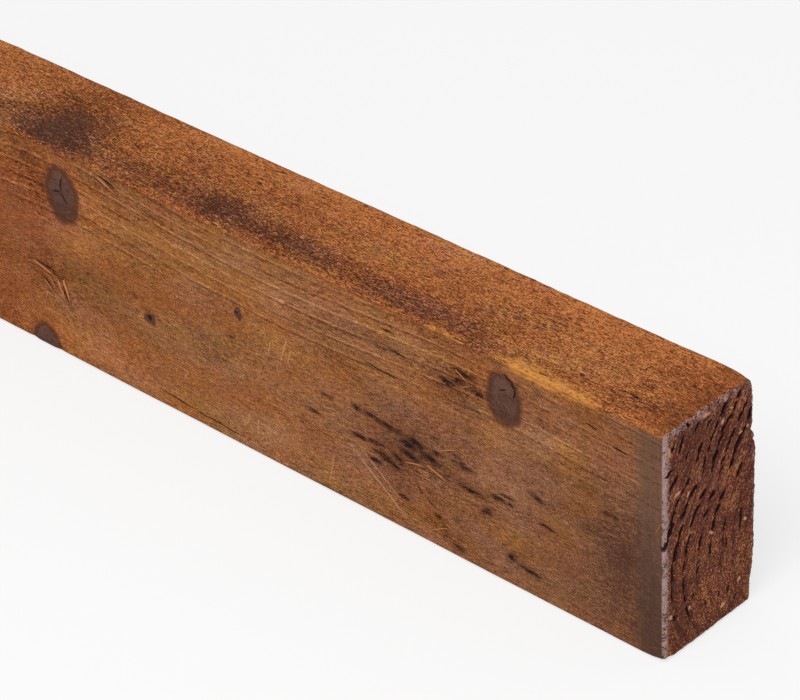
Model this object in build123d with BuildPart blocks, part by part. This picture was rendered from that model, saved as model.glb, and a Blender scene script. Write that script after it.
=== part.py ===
"""Treated sawn timber: one length of sawn softwood, standing on its narrow edge.

The length runs along X, the thickness along Y and the depth along Z.
The origin is the middle of the underside.
"""

import os

from build123d import *

# Sawn sizes, in millimetres
LENGTH = 1800.0
THICKNESS = 50.0
DEPTH = 100.0

# Radius of each arris along the length, blunted by the saw and by handling
FRONT_BOTTOM_ARRIS = 1.5
BACK_BOTTOM_ARRIS = 1.5
BACK_TOP_ARRIS = 2.5
FRONT_TOP_ARRIS = 2.0

# Radius of the arris round each crosscut end, and its largest share of an arris that it turns round
END_ARRIS = 1.2
END_ARRIS_SHARE = 0.8

# Corners of the section, each with the radius of its arris
SECTION_CORNERS = [
    ((-THICKNESS / 2, 0), FRONT_BOTTOM_ARRIS),
    ((THICKNESS / 2, 0), BACK_BOTTOM_ARRIS),
    ((THICKNESS / 2, DEPTH), BACK_TOP_ARRIS),
    ((-THICKNESS / 2, DEPTH), FRONT_TOP_ARRIS),
]

with BuildPart() as sawn_timber:
    # The sawn section, seen along the length
    with BuildSketch(Plane.YZ):
        with BuildLine():
            FilletPolyline(
                *[point for point, radius in SECTION_CORNERS],
                radius=[radius for point, radius in SECTION_CORNERS],
                close=True,
            )
        make_face()
    extrude(amount=LENGTH / 2, both=True)

    # The crosscut ends, eased all round
    tightest_arris = min(radius for point, radius in SECTION_CORNERS)
    rings_of_edges = sawn_timber.edges().group_by(Axis.X)
    fillet(
        rings_of_edges[0] + rings_of_edges[-1],
        radius=min(END_ARRIS, END_ARRIS_SHARE * tightest_arris),
    )

sawn_timber.part.label = "sawn_timber"

os.makedirs("parts", exist_ok=True)
export_step(sawn_timber.part, "parts/sawn_timber.step")
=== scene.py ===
"""Looks of a length of treated sawn timber, standing on its narrow edge.

The maths is in millimetres: s runs along the length from the near crosscut end, y across the
thickness from the front face to the back one, and z up the depth. Meshes are written in metres.
"""

import itertools
import math
from types import SimpleNamespace

import bpy
import numpy as np
from bpy.props import FloatProperty, FloatVectorProperty, IntProperty, PointerProperty
from mathutils import Matrix, Vector


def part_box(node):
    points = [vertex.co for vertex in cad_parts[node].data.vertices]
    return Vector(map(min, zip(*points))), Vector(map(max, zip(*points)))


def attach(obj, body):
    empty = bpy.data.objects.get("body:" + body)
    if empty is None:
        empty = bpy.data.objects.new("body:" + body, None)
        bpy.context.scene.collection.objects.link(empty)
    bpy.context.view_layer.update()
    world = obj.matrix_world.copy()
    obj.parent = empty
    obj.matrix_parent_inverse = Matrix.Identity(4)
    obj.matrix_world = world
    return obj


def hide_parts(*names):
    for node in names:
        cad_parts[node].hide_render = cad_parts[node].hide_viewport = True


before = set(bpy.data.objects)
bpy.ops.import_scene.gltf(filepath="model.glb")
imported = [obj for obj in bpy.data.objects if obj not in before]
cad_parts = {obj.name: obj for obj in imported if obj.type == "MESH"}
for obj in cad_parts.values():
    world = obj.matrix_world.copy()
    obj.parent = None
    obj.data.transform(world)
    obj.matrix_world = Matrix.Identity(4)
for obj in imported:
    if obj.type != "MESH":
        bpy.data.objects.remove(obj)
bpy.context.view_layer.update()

bl_info = {
    "name": "Treated Sawn Timber",
    "version": (1, 0, 0),
    "blender": (4, 5, 0),
    "location": "3D View > Sidebar > Timber",
    "description": "Makes a length of rough-sawn treated softwood with its knots, nap and end grain",
    "category": "Add Mesh",
}

NODE = "sawn_timber"
BODY = "root"
MM = 0.001

# Sizes of the timber, in millimetres, from the frame
LOW, HIGH = (np.array(corner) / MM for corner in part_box(NODE))
LENGTH, THICKNESS, DEPTH = HIGH - LOW
FRONT = -THICKNESS / 2
BACK = THICKNESS / 2

# Pith of the log, beside the back face, and how its growth rings spread round it
PITH_Y = 47.3
PITH_Z = 34.0
RING_SPACING = 6.6
RING_SLOPE = 0.6
RING_TURN = 16.0

# Mesh counts: round the section at the near end, which halve at the close part and again at the rest
SIDES_Y = 112
SIDES_Z = 224
ROUND_STEPS = (1, 2, 4)
FINE_LENGTH = 5.0
FINE_STATIONS = 5
CLOSE_LENGTH = 430.0
CLOSE_STATIONS = 120
REST_STATIONS = 140
END_ARRIS_STEPS = 4
ARC_STEPS = 32
# Places where the sections crowd, and how strong and how wide the crowding is there and at the whorls
CLOSE_SPOTS = (0.0, 75.0, 94.0, 118.0, 140.0, 310.0, 328.0)
CLOSE_CROWDING = (1.6, 13.0)
REST_CROWDING = (5.0, 22.0)
CROWDING_SAMPLES = 4000

# Knots that show: s, y and z of the middle on its face, and the radius there
KNOTS = [
    (309.5, FRONT, 80.4, 8.8),
    (74.5, FRONT, 83.4, 7.6),
    (328.7, FRONT, 2.0, 7.8),
    (322.6, -7.2, DEPTH, 8.0),
    (263.0, FRONT, 41.0, 3.1),
    (211.8, FRONT, 64.2, 2.4),
]

# Whorls of branches further along, with the knots of each
WHORL_PLACES = (566.0, 812.0, 1046.0, 1291.0, 1524.0, 1752.0)
WHORL_SPREAD = 16.0
WHORL_SEED = 41
KNOTS_TO_FRONT = 3
KNOTS_TO_TOP = 1
KNOT_SHARES = (0.15, 0.85)
KNOT_RADII = (3.5, 9.0)
# Girth of a knot as a share of its radius, at the least and at the most, and its height over its width
KNOT_TAPER = (0.3, 1.3)
KNOT_HEIGHT = 1.12
# How far round a knot the grain bends, how drawn out that is along s, and its bow between the whorls
GRAIN_SWEEP = 1.25
GRAIN_STRETCH = 1.9
GRAIN_BOW = 5.0
BOW_PLACES = (-160.0, 80.0, 315.0, *WHORL_PLACES, LENGTH + 100.0)
# Value of the knots and the flecks far outside them
FAR_OUTSIDE = -3.0

# How squarely a point faces a side where the patches of that side begin, and where they are full
SQUARELY = (0.3, 0.9)
# Patches on the front face: s, t down from the top, their two radii and how much lighter they are
FRONT_TONES = [
    (238.0, 18.0, 70.0, 16.0, 0.06),
    (79.0, 35.5, 11.0, 7.0, 0.20),
    (55.0, 25.5, 18.0, 3.5, 0.16),
    (106.0, 60.0, 34.0, 12.0, -0.16),
    (94.0, 17.0, 9.0, 6.0, -0.14),
    (303.0, 58.0, 26.0, 10.0, -0.19),
    (233.0, 61.0, 12.0, 9.0, -0.12),
    (299.0, 41.0, 14.0, 5.0, 0.16),
    (318.0, 87.0, 9.0, 6.0, 0.20),
    (343.0, 91.0, 9.0, 5.0, 0.14),
    (77.0, 79.0, 9.0, 4.0, 0.14),
    (52.0, 63.0, 9.0, 8.0, 0.08),
    (30.0, 61.5, 26.0, 30.0, -0.10),
    (18.0, 60.0, 10.0, 17.0, -0.36),
    (190.0, 44.0, 7.0, 9.0, 0.06),
    (211.0, 84.0, 10.0, 8.0, 0.07),
    (169.0, 86.0, 8.0, 10.0, 0.06),
    (142.0, 82.0, 22.0, 12.0, 0.05),
    (12.0, 87.0, 26.0, 22.0, -0.20),
    (64.0, 89.0, 10.0, 5.0, -0.14),
    (80.0, 50.0, 110.0, 80.0, -0.10),
    (323.0, 21.0, 6.0, 9.0, -0.18),
    (200.0, 62.0, 52.0, 40.0, 0.05),
    (250.0, 9.0, 22.0, 8.0, -0.12),
    (331.0, 8.0, 11.0, 9.0, -0.19),
    (290.0, 8.0, 30.0, 8.0, -0.04),
    (160.0, 9.0, 20.0, 8.0, 0.10),
    (92.0, 8.0, 9.0, 5.0, 0.10),
    (28.0, 9.0, 10.0, 9.0, -0.10),
    (262.0, 26.0, 36.0, 9.0, -0.05),
    (103.0, 26.0, 16.0, 8.0, -0.14),
    (110.0, 42.0, 9.0, 7.0, 0.08),
    (79.0, 58.0, 17.0, 9.0, 0.19),
    (30.0, 58.0, 8.0, 9.0, -0.10),
    (130.0, 70.0, 10.0, 15.0, -0.17),
    (280.0, 75.0, 20.0, 8.0, 0.06),
    (190.0, 79.0, 10.0, 13.0, 0.11),
    (68.0, 73.0, 10.0, 6.0, 0.07),
    (288.0, 91.0, 30.0, 9.0, 0.20),
    (100.0, 91.0, 16.0, 8.0, -0.12),
    (30.0, 91.0, 14.0, 8.0, -0.06),
]
# Patches on the front face that are rustier, or greyer where the amount is below zero
FRONT_WARMTHS = [
    (395.0, 50.0, 75.0, 70.0, 1.0),
    (306.0, 59.0, 20.0, 11.0, -0.16),
    (309.0, 24.0, 20.0, 18.0, 0.10),
    (75.0, 20.0, 14.0, 18.0, 0.06),
    (113.0, 85.0, 22.0, 9.0, 0.08),
    (75.0, 79.0, 14.0, 6.0, 0.30),
    (50.0, 64.0, 12.0, 9.0, 0.20),
    (233.0, 61.0, 13.0, 9.0, -0.15),
    (60.0, 66.0, 95.0, 44.0, -0.25),
    (18.0, 60.0, 10.0, 18.0, -0.20),
    (10.0, 50.0, 14.0, 70.0, -0.10),
    (323.0, 21.0, 7.0, 10.0, 0.25),
    (290.0, 9.0, 46.0, 8.0, -0.10),
    (252.0, 47.0, 30.0, 15.0, 0.38),
    (332.0, 42.0, 9.0, 8.0, 0.34),
    (92.0, 26.0, 10.0, 8.0, -0.10),
    (118.0, 26.0, 17.0, 9.0, 0.15),
    (46.0, 26.0, 13.0, 9.0, 0.15),
    (130.0, 58.0, 10.0, 8.0, -0.15),
    (280.0, 91.0, 24.0, 9.0, 0.30),
]
# Patches on the top edge: s, distance from the back, their two radii and how much lighter they are
TOP_TONES = [
    (319.5, 36.5, 22.0, 15.0, -0.69),
    (332.8, 15.5, 9.0, 14.0, -0.22),
    (259.3, 41.0, 26.0, 9.0, -0.32),
    (205.4, 40.0, 34.0, 8.0, -0.42),
    (146.6, 41.0, 30.0, 8.0, -0.31),
    (102.5, 41.0, 16.0, 8.0, -0.28),
    (21.2, 16.5, 7.0, 6.0, -0.24),
    (3.5, 26.3, 9.0, 30.0, -0.32),
    (176.0, 5.7, 220.0, 9.0, 0.22),
    (381.8, 13.6, 30.0, 20.0, 0.12),
    (317.0, 6.0, 20.0, 9.0, -0.38),
    (314.0, 21.0, 15.0, 10.0, -0.12),
    (308.0, 43.5, 9.0, 7.0, -0.24),
    (230.0, 38.0, 11.0, 12.0, -0.40),
    (195.0, 43.0, 26.0, 7.0, -0.18),
    (90.0, 43.0, 8.0, 7.0, -0.08),
    (112.0, 30.0, 13.0, 8.0, 0.08),
    (130.0, 19.0, 10.0, 8.0, 0.12),
    (210.0, 19.0, 11.0, 8.0, -0.08),
    (60.0, 20.0, 36.0, 9.0, 0.17),
    (266.0, 42.0, 9.0, 8.0, 0.08),
    (40.0, 42.0, 18.0, 9.0, 0.15),
    (105.0, 6.0, 18.0, 7.0, 0.06),
]
# Patches on the top edge that are rustier or greyer
TOP_WARMTHS = [
    (176.0, 5.7, 220.0, 9.0, 0.10),
    (337.7, 8.3, 5.0, 4.0, 0.40),
    (325.9, 38.0, 18.0, 14.0, -0.44),
    (205.4, 41.0, 60.0, 8.0, -0.26),
    (127.0, 42.0, 30.0, 7.0, -0.26),
    (9.4, 31.2, 16.0, 25.0, 0.25),
    (226.0, 39.0, 16.0, 11.0, -0.18),
    (309.0, 36.0, 10.0, 14.0, -0.18),
    (92.0, 43.0, 9.0, 7.0, -0.12),
]
# Bright worn stretches of the front top arris: s, its radius and how much they show, and their width
GOLDEN_ARRISES = [(63.0, 13.0, 1.0), (40.0, 12.0, 0.6), (106.0, 16.0, 0.35), (172.0, 14.0, 0.3)]
GOLDEN_WIDTH = 5.0

# Black flecks on the front face: s, t down from the top, half length, half width, tilt in degrees
FRONT_FLECKS = [
    (166.0, 54.1, 3.2, 0.9, 0.0),
    (149.5, 52.8, 2.4, 1.1, -20.0),
    (142.0, 53.2, 4.5, 0.9, -4.0),
    (133.4, 54.3, 5.5, 1.1, -4.0),
    (122.6, 58.4, 4.0, 1.7, -10.0),
    (118.6, 55.8, 4.2, 1.6, -12.0),
    (113.4, 59.8, 4.4, 1.7, -10.0),
    (109.0, 56.0, 2.8, 1.0, 10.0),
    (95.8, 55.9, 4.6, 1.2, -4.0),
    (99.0, 52.8, 2.4, 0.8, -20.0),
    (173.3, 64.5, 4.6, 0.8, -4.0),
    (148.6, 65.6, 4.0, 1.0, 4.0),
    (141.4, 65.0, 4.6, 1.2, 4.0),
    (135.8, 69.4, 4.6, 1.6, -14.0),
    (128.8, 67.4, 3.0, 1.3, -30.0),
    (130.6, 71.4, 2.6, 1.0, -20.0),
    (141.3, 73.3, 3.0, 1.1, 0.0),
    (123.1, 63.0, 4.6, 1.4, -12.0),
    (90.9, 65.2, 6.0, 0.8, -2.0),
    (79.0, 62.4, 4.2, 1.2, 0.0),
    (74.4, 59.6, 3.6, 0.8, 0.0),
    (72.6, 62.4, 2.4, 0.8, 10.0),
    (84.6, 71.3, 3.2, 1.5, 25.0),
    (126.6, 84.1, 2.6, 1.2, 0.0),
    (109.5, 85.1, 2.0, 1.0, 0.0),
    (58.8, 54.0, 3.4, 1.3, -20.0),
    (54.5, 64.5, 3.6, 0.8, 0.0),
    (72.4, 86.0, 2.4, 1.5, 40.0),
    (63.0, 88.8, 4.2, 1.0, -6.0),
    (99.7, 94.9, 2.8, 1.4, 0.0),
    (93.6, 14.2, 4.2, 1.3, -8.0),
    (102.6, 20.8, 3.6, 1.2, -12.0),
    (97.0, 18.4, 2.6, 1.0, 15.0),
    (87.0, 19.8, 3.6, 1.4, -10.0),
    (25.2, 44.8, 3.0, 1.3, 0.0),
    (216.0, 48.9, 2.4, 0.9, 20.0),
    (270.2, 51.8, 2.0, 1.2, 0.0),
]
# Torn grain on the front face: s, t down from the top, its two radii and how deep it goes
FRONT_TEARS = [
    (320.2, 65.4, 12.0, 9.0, 1.0),
    (109.5, 65.4, 16.0, 6.0, 0.7),
    (95.8, 17.4, 11.0, 6.0, 0.8),
    (326.0, 21.0, 8.0, 10.0, 0.8),
    (105.5, 89.0, 9.0, 5.0, 0.5),
    (281.1, 3.6, 7.0, 3.0, 0.7),
]
# Cracks on the front face, some widened into painted shadows beside the splinters: both ends as s and t
# down from the top, and the half width
FRONT_CRACKS_AND_SHADOWS = [
    ((309.7, 19.6), (308.1, 9.4), 0.60),
    ((309.4, 18.6), (315.0, 20.0), 0.55),
    ((310.2, 18.2), (305.9, 23.5), 0.60),
    ((75.0, 5.2), (70.4, 7.6), 0.45),
    ((71.1, 6.7), (68.9, 10.8), 0.60),
    ((69.0, 9.8), (69.3, 14.6), 0.50),
    ((77.0, 13.2), (72.6, 10.6), 0.40),
    # These three are dark cracks along the splinters of the torn grain, widened as their painted shadows
    ((332.9, 58.0), (315.4, 61.3), 0.70),
    ((316.8, 63.5), (310.6, 75.6), 0.75),
    ((327.0, 64.5), (320.2, 71.8), 0.55),
    ((121.1, 73.3), (115.8, 78.4), 0.40),
    ((116.3, 77.8), (109.5, 82.3), 0.40),
    ((135.8, 10.5), (127.0, 10.9), 0.40),
    ((131.9, 18.0), (121.1, 18.8), 0.45),
    ((146.5, 29.3), (125.1, 30.1), 0.45),
    ((36.8, 9.3), (29.4, 10.1), 0.40),
    ((24.6, 14.0), (15.8, 15.0), 0.40),
    ((262.0, 91.8), (238.0, 94.0), 0.42),
    ((244.0, 93.5), (212.0, 95.0), 0.36),
    # A dark crack along the splinter near the top, widened as its painted shadow
    ((288.0, 2.3), (276.3, 5.0), 0.70),
    ((264.8, 59.2), (261.2, 58.8), 1.50),
    ((213.0, 35.6), (210.6, 36.0), 0.80),
]

# Cracks on the top edge: both ends as s and distance from the back, and the half width
TOP_CRACKS = [
    ((31.7, 37.8), (27.6, 36.5), 0.50),
    ((28.4, 36.5), (19.8, 37.6), 0.60),
    ((48.6, 38.6), (45.6, 38.7), 0.70),
    ((13.3, 18.8), (7.1, 19.6), 0.45),
    ((75.8, 13.2), (72.7, 13.5), 0.50),
    ((290.8, 26.2), (284.2, 27.8), 0.45),
    ((234.0, 6.2), (225.5, 4.6), 0.50),
    ((231.7, 16.0), (227.5, 17.0), 0.50),
]
# How far a crack or a scratch reaches to both sides of the plain surface
OVAL_DEPTH = 2.0

# Pale scratches on the front face: both ends as s and t, and the half width
FRONT_SCRATCHES = [
    ((196.5, 50.0), (194.0, 40.0), 0.45),
    ((190.5, 51.5), (184.5, 35.0), 0.60),
    ((186.0, 49.0), (183.0, 40.0), 0.40),
    ((159.0, 68.0), (120.5, 97.5), 0.55),
    ((152.0, 68.0), (126.0, 88.0), 0.40),
    ((167.0, 96.0), (163.0, 80.0), 0.40),
    ((206.0, 92.0), (203.0, 80.0), 0.45),
    ((212.0, 90.0), (208.0, 80.0), 0.40),
    ((243.0, 77.0), (246.0, 82.0), 0.40),
]

# Patches on the near end: distance from the front, t down from the top, two radii, how much lighter
END_TONES = [
    (17.0, 12.0, 10.0, 7.0, -0.06),
    (30.0, 34.0, 15.0, 6.0, 0.12),
    (8.0, 84.0, 5.0, 14.0, -0.14),
    (31.0, 82.0, 13.0, 15.0, 0.14),
    (43.0, 7.0, 4.0, 5.0, 0.22),
    (9.0, 28.0, 5.0, 4.0, 0.16),
]
# Furrows between the growth rings of the ends: both ends as distance from the front and t, half width
END_FURROWS = [
    ((8.0, 11.2), (10.9, 4.5), 0.65),
    ((12.6, 0.4), (13.7, 2.8), 0.55),
    ((3.6, 8.8), (5.8, 5.0), 0.50),
    ((17.0, 6.4), (19.0, 3.2), 0.60),
    ((18.8, 16.8), (20.9, 13.6), 0.90),
    ((17.8, 20.4), (19.4, 16.4), 0.60),
    ((11.8, 15.6), (13.2, 13.2), 0.50),
    ((23.3, 8.4), (25.8, 6.2), 0.60),
    ((28.0, 12.2), (30.0, 9.2), 0.75),
    ((25.8, 15.2), (28.0, 12.0), 0.60),
    ((24.0, 19.8), (25.6, 16.5), 0.45),
    ((21.6, 24.4), (23.2, 20.4), 0.65),
    ((21.8, 27.4), (22.4, 24.8), 0.35),
    ((31.4, 7.2), (34.2, 3.0), 0.95),
    ((32.2, 14.4), (34.8, 12.0), 0.85),
    ((34.2, 12.8), (37.6, 10.4), 0.95),
    ((30.0, 19.4), (33.0, 15.6), 0.75),
    ((27.2, 25.4), (30.0, 21.0), 0.90),
    ((26.4, 29.2), (27.6, 25.8), 0.45),
    ((38.4, 9.0), (40.2, 6.4), 0.70),
    ((40.8, 4.8), (42.4, 2.6), 0.80),
    ((41.2, 14.8), (44.0, 12.2), 0.70),
    ((44.0, 12.2), (46.2, 9.2), 0.55),
    ((36.6, 20.2), (39.8, 17.6), 0.70),
    ((35.2, 22.6), (37.0, 20.8), 0.55),
    ((34.4, 25.0), (35.6, 23.4), 0.45),
    ((31.8, 28.2), (34.2, 26.4), 0.65),
    ((40.2, 25.4), (43.8, 21.8), 1.20),
    ((38.6, 28.8), (41.0, 25.4), 0.90),
    ((36.6, 33.4), (39.0, 29.4), 0.75),
    ((47.0, 16.8), (48.8, 12.6), 0.90),
    ((44.2, 21.2), (46.2, 19.2), 0.55),
    ((40.4, 39.8), (43.2, 33.8), 0.60),
    ((31.2, 32.4), (33.0, 29.8), 0.45),
    ((20.0, 37.2), (22.8, 34.8), 0.80),
    ((25.8, 40.2), (28.4, 38.6), 0.80),
    ((31.2, 44.0), (34.0, 41.8), 0.70),
    ((28.6, 49.0), (31.2, 45.8), 0.90),
    ((14.2, 33.6), (18.8, 29.6), 0.90),
    ((11.6, 37.2), (13.8, 34.4), 0.60),
    ((9.6, 40.4), (11.8, 37.6), 0.75),
    ((12.0, 27.0), (14.2, 25.0), 0.70),
    ((9.4, 29.8), (12.0, 27.0), 0.55),
    ((6.0, 33.6), (9.2, 30.2), 0.65),
    ((3.4, 39.8), (6.2, 34.4), 0.70),
    ((1.8, 45.4), (4.8, 39.6), 1.00),
    ((0.0, 49.4), (2.6, 44.6), 0.85),
    ((16.6, 42.8), (19.6, 40.0), 0.90),
    ((14.8, 47.0), (17.2, 42.4), 0.75),
    ((22.4, 47.4), (24.8, 44.4), 0.65),
    ((8.0, 48.4), (10.4, 43.2), 0.80),
    ((6.4, 52.6), (8.4, 47.8), 0.75),
    ((1.0, 17.8), (4.2, 16.2), 0.65),
    ((3.2, 24.2), (7.8, 20.2), 0.80),
    ((4.4, 59.0), (6.8, 50.6), 0.75),
    ((4.2, 67.0), (4.9, 57.0), 0.65),
    ((4.4, 75.0), (4.2, 65.0), 0.42),
    ((12.0, 58.0), (12.9, 53.8), 0.80),
    ((12.6, 54.4), (14.6, 50.0), 0.70),
    ((10.6, 65.4), (11.7, 59.6), 0.48),
    ((11.0, 74.0), (10.8, 66.6), 0.50),
    ((12.2, 79.6), (11.2, 73.0), 0.42),
    ((14.4, 87.0), (12.2, 80.6), 0.50),
    ((19.4, 60.0), (20.8, 53.6), 0.62),
    ((18.2, 69.4), (19.8, 66.4), 0.55),
    ((26.8, 55.0), (29.0, 50.2), 0.80),
    ((26.2, 65.6), (26.4, 60.2), 0.62),
    ((33.8, 59.6), (35.0, 54.0), 0.52),
    ((33.6, 65.4), (33.9, 59.6), 0.36),
    ((35.6, 68.0), (35.0, 62.6), 0.36),
    ((42.5, 63.6), (43.2, 53.2), 0.50),
    ((16.4, 79.4), (17.0, 77.8), 0.60),
    ((36.8, 88.6), (36.5, 85.4), 0.65),
    ((31.6, 87.0), (31.8, 85.4), 0.55),
    ((24.0, 87.6), (23.8, 85.0), 0.55),
    ((40.6, 93.8), (41.2, 92.2), 0.65),
    ((6.6, 83.0), (5.2, 81.0), 0.55),
]
# Splashes of pale fibre on the ends: both ends as distance from the front and t, and the half width
END_SPLASHES = [
    ((2.8, 80.2), (4.8, 81.4), 0.70),
    ((14.0, 82.4), (14.8, 83.0), 0.55),
    ((42.2, 87.0), (43.2, 85.4), 0.65),
    ((32.6, 93.0), (34.8, 92.0), 0.65),
    ((25.8, 55.0), (27.4, 56.4), 0.60),
    ((44.8, 59.0), (45.4, 60.2), 0.50),
    ((12.6, 32.4), (14.2, 30.4), 0.55),
    ((14.6, 44.8), (15.8, 43.6), 0.55),
    ((6.0, 28.4), (8.8, 27.6), 0.60),
    ((2.2, 6.0), (3.4, 10.0), 0.75),
    ((33.2, 1.0), (34.4, 3.4), 0.60),
    ((20.8, 2.4), (25.2, 2.8), 0.70),
    ((36.4, 6.8), (38.2, 7.8), 0.50),
    ((31.8, 11.2), (33.2, 9.4), 0.60),
    ((42.2, 20.6), (43.8, 21.2), 0.60),
    ((45.6, 19.2), (47.2, 20.2), 0.55),
]
# How much wider than its half width such an oval is, and how far and how slowly its outline wanders
OVAL_SPREAD = 1.35
OVAL_WANDER = 0.35
OVAL_WANDER_CELL = 2.2
OVAL_WANDER_SEEDS = (80, 90)

# Nicks of the upright arrises of the near end: y, z, radius along z and depth, and their reach
END_NICKS = [
    (BACK, 76.8, 1.7, 1.5),
    (BACK, 72.6, 1.3, 1.1),
    (FRONT, 59.0, 1.3, 1.0),
    (FRONT, 41.0, 2.6, 0.7),
]
NICK_REACH_ALONG = 3.0
NICK_REACH_ACROSS = 2.2
# Swelling of the long faces, and of the upright back arris of the near end, with its reach and its fades
FACE_SWELL = 0.40
ARRIS_SWELL = 1.4
ARRIS_REACH = 7.0
ARRIS_FADE_BELOW = (4.0, 25.0)
ARRIS_FADE_ABOVE = (82.0, 72.0)
# Two corners of the near end, how far each is knocked in along s, y and z, and the reach of that
CORNER_KNOCKS = [((0.0, FRONT, 0.0), (0.4, 0.2, 0.9)), ((0.0, BACK, DEPTH), (0.6, -0.6, -1.0))]
CORNER_REACH = 5.0

# Relief of the sawn surface: depths, and the cells of the noises that vary them, along s, y and z
WAVE_DEPTH = 0.14
WAVE_CELL = (70.0, 32.0, 32.0)
FACE_NAP_DEPTH = 0.05
EDGE_NAP_DEPTH = 0.13
NAP_CELL = (6.0, 3.0, 3.0)
STRAND_DEPTH = 0.06
STRAND_CELL = (40.0, 2.4, 2.4)
KNOT_DOME = 0.28
KNOT_GROOVE = 0.35
KNOT_GROOVE_SHARE = 0.10
TEAR_DEPTHS = (0.20, 0.8)
TEAR_CELL = (9.0, 1.8, 1.8)
FLECK_DEPTH = 0.35
LONG_WEAR = (0.08, 0.40)
LONG_WEAR_CELL = (9.0, 4.0, 4.0)
END_WEAR = (0.06, 1.2)
END_WEAR_CELL = (2.0, 2.2, 2.2)
FURROW_DEPTH = 1.1
END_ROUGHNESS = 0.20
END_CELL = (2.0, 2.0, 2.0)

# Loose fibres that stand out on the front face: both ends as s and t, half width and how high they arch
SPLINTERS = [
    ((332.5, 59.4), (315.0, 62.7), 0.60, 0.9),
    ((314.5, 62.4), (309.4, 75.6), 0.80, 1.0),
    ((318.0, 64.6), (312.6, 72.5), 0.60, 0.8),
    ((324.9, 71.6), (326.4, 77.0), 0.40, 0.7),
    ((325.2, 71.8), (320.0, 72.8), 0.35, 0.6),
    ((326.0, 66.8), (319.6, 70.6), 0.40, 0.7),
    ((318.8, 62.6), (313.4, 67.0), 0.34, 0.6),
    ((322.5, 64.0), (318.2, 69.0), 0.32, 0.5),
    ((316.4, 67.2), (313.4, 73.8), 0.34, 0.5),
    ((313.0, 76.8), (308.6, 77.6), 0.30, 0.4),
    ((287.0, 3.6), (276.5, 6.6), 0.60, 0.7),
    ((275.0, 10.6), (268.8, 6.2), 0.30, 0.9),
    ((267.5, 17.5), (263.8, 11.8), 0.30, 0.9),
    ((125.4, 67.2), (113.8, 63.6), 0.50, 1.1),
    ((114.2, 63.6), (101.0, 66.8), 0.55, 1.3),
    ((109.0, 54.6), (96.0, 48.0), 0.40, 0.8),
    ((97.0, 48.6), (85.4, 43.6), 0.35, 0.8),
    ((114.8, 94.0), (102.0, 86.4), 0.34, 1.0),
    ((122.0, 11.2), (109.0, 7.4), 0.28, 0.7),
    ((98.0, 13.5), (90.0, 17.4), 0.30, 0.6),
    ((96.0, 20.8), (89.0, 16.4), 0.30, 0.6),
    ((4.2, 43.2), (1.6, 37.8), 0.40, 0.4),
]
SPLINTER_BRIGHTNESS = (1.0, 1.3)

# Raised nap: how many fibres stand on each face, with their lengths, and the degrees of their angle to
# the length, of its spread and of their lift
NAP_ANGLE = 4.0
EDGE_NAP = {"count": 11000, "lengths": (1.0, 3.8), "angle": NAP_ANGLE, "spread": 22.0, "lift": 8.0}
FACE_NAP = {"count": 4200, "lengths": (1.6, 6.5), "angle": 0.0, "spread": 11.0, "lift": 5.0}
# What each fibre of the nap draws, how many point back, and how far off the face their roots are
FIBRE_HALF_WIDTHS = (0.07, 0.17)
FIBRE_LIFTS = (0.5, 1.5)
FIBRE_ARCHES = (-0.12, 0.10)
FIBRES_BACKWARD = 0.25
FIBRE_ROOT_LIFT = 0.05
# Margins of the nap: from the ends, from the front and back arrises, and from the lower and upper ones
NAP_END_MARGIN = 4.0
EDGE_MARGINS = (3.0, 6.0)
FACE_MARGINS = (3.0, 4.0)
# A spike: points of each one, where its rings stand, how their width falls, and how flat they are
SPIKE_POINTS = 7
SPIKE_SHARES = np.array([0.0, 0.5, 1.0])
SPIKE_FADES = np.array([1.0, 0.8, 0.0])
SPIKE_FLATNESS = 0.6

# The camera: the picture, where the near lower front corner falls in it and how many metres away that is,
# the focal length in pixels, the angles in degrees, and the width of the sensor
PICTURE_WIDTH = 800.0
PICTURE_HEIGHT = 700.0
CORNER_PIXEL = (664.5, 665.1)
CORNER_DISTANCE = 1.2773
FOCAL_PIXELS = 3544.6
AZIMUTH = 44.30
ELEVATION = 33.57
ROLL = -2.74
SENSOR_WIDTH = 36.0

# The stage, in metres: the floor and how much of it looks white, and the large soft light
FLOOR_HALF = 8.0
FLOOR_HEIGHT = -0.0003
FLOOR_WHITENESS = 0.72
KEY_TARGET = Vector((0.75, 0.0, 0.06))
KEY_OFFSET = Vector((0.45, -1.25, 1.75))
KEY_SIZE = 1.3
WHITE = (1.0, 1.0, 1.0, 1.0)

# Finish: how far from the top, the underside and an end their own finish begins, and where it is full
TOP_FINISH = (2.0, 1.0)
UNDERSIDE_FINISH = (1.8, 0.9)
CROSSCUT_FINISH = (1.05, 0.45)
# Where the greyed band by each end is gone and where it is full, and how high above the pith, or how far
# below, the faces begin to look streaky
GREYED_BAND = (17.5, 8.5)
STREAKY_HEIGHTS = (33.0, 37.0)
# Degrees that the fine fibres and the cross marks lean from the length, on the faces and on the edges
FIBRE_LEANS = (14.0, NAP_ANGLE)
CROSS_LEANS = (-28.0, -7.0)
# How far a crack or a scratch wanders along s, y and z, and the shares of a noise's shift along them
OVAL_STRAYS = (2.0, 1.6, 2.4)
SHIFT_SHARES = (1.0, 0.37, 0.71)
# Tone of the faces before their noises, how much lighter the edges are, its contrast, and the ends' tone
FACE_TONE = 0.53
EDGE_TONE = 0.17
TONE_CONTRAST = 0.8
END_TONE = 0.365
BUMP_STRENGTH = 0.8
SPECULAR = 0.08


def arris_property(name, arris, radius, least=0.0005):
    """The radius of an arris that a user can change, in metres."""
    return FloatProperty(
        name=name,
        description=f"Radius of the {arris}",
        default=radius,
        min=least,
        unit="LENGTH",
    )


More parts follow.
